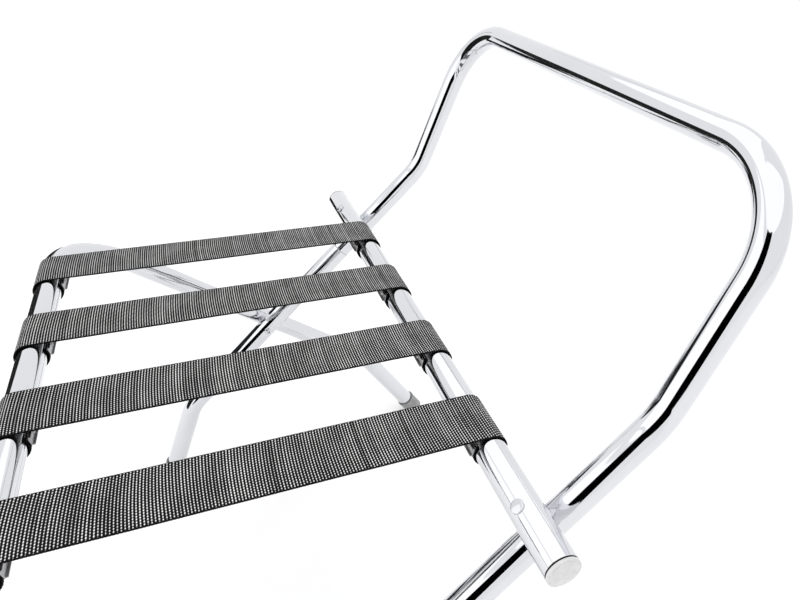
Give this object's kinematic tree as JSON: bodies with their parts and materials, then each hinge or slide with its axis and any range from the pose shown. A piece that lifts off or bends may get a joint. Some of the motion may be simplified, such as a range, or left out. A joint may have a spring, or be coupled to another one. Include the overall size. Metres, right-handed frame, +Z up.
{
  "type": "folding luggage rack",
  "caption": "Folding luggage rack of crossed chromed tube frames, with webbing straps between two rails and a hoop back above the rear rail.",
  "frame": {"origin": "on the floor, under the middle of the whole outline", "axes": "+X to the back of the rack, where the hoop stands; +Y to its left side, along the rails; +Z up"},
  "size_m": [0.5526, 0.645, 0.6718],
  "materials": {
    "chrome_tube": "bright chrome plate on steel tube",
    "chrome_hardware": "chrome plated rivets and saddles",
    "clamp_steel": "plated pressed steel",
    "webbing": "charcoal ribbed synthetic webbing",
    "cap_plastic": "silver grey satin plastic",
    "foot_plastic": "grey soft plastic"
  },
  "bodies": {
    "back_frame": {"back_hoop_tube": "chrome_tube", "back_leg_left": "chrome_tube", "back_leg_right": "chrome_tube", "rear_rail_tube": "chrome_tube", "rear_rail_cap_left": "cap_plastic", "rear_rail_cap_right": "cap_plastic", "rail_saddle_left": "chrome_hardware", "rail_saddle_right": "chrome_hardware", "rail_rivet_left": "chrome_hardware", "rail_rivet_right": "chrome_hardware", "pivot_rivet_left": "chrome_hardware", "pivot_rivet_right": "chrome_hardware", "pivot_saddle_inner_left": "chrome_hardware", "pivot_saddle_inner_right": "chrome_hardware", "strap_1": "webbing", "strap_2": "webbing", "strap_3": "webbing", "strap_4": "webbing", "rear_clamp_1": "clamp_steel", "rear_clamp_2": "clamp_steel", "rear_clamp_3": "clamp_steel", "rear_clamp_4": "clamp_steel", "rear_clamp_rivets": "clamp_steel", "back_foot_left": "foot_plastic", "back_foot_right": "foot_plastic"},
    "front_frame": {"front_frame_tube": "chrome_tube", "pivot_saddle_outer_left": "chrome_hardware", "pivot_saddle_outer_right": "chrome_hardware", "front_clamp_1": "clamp_steel", "front_clamp_2": "clamp_steel", "front_clamp_3": "clamp_steel", "front_clamp_4": "clamp_steel", "front_clamp_rivets": "clamp_steel", "front_foot_left": "foot_plastic", "front_foot_right": "foot_plastic"}
  },
  "joints": [
    {"name": "fold", "type": "hinge", "parent": "back_frame", "child": "front_frame", "pos_m": [-0.03476, 0, 0.25098], "axis": [0, 1, 0], "range_deg": [0, 82.5], "deforming": ["strap_1", "strap_2", "strap_3", "strap_4"]}
  ]
}
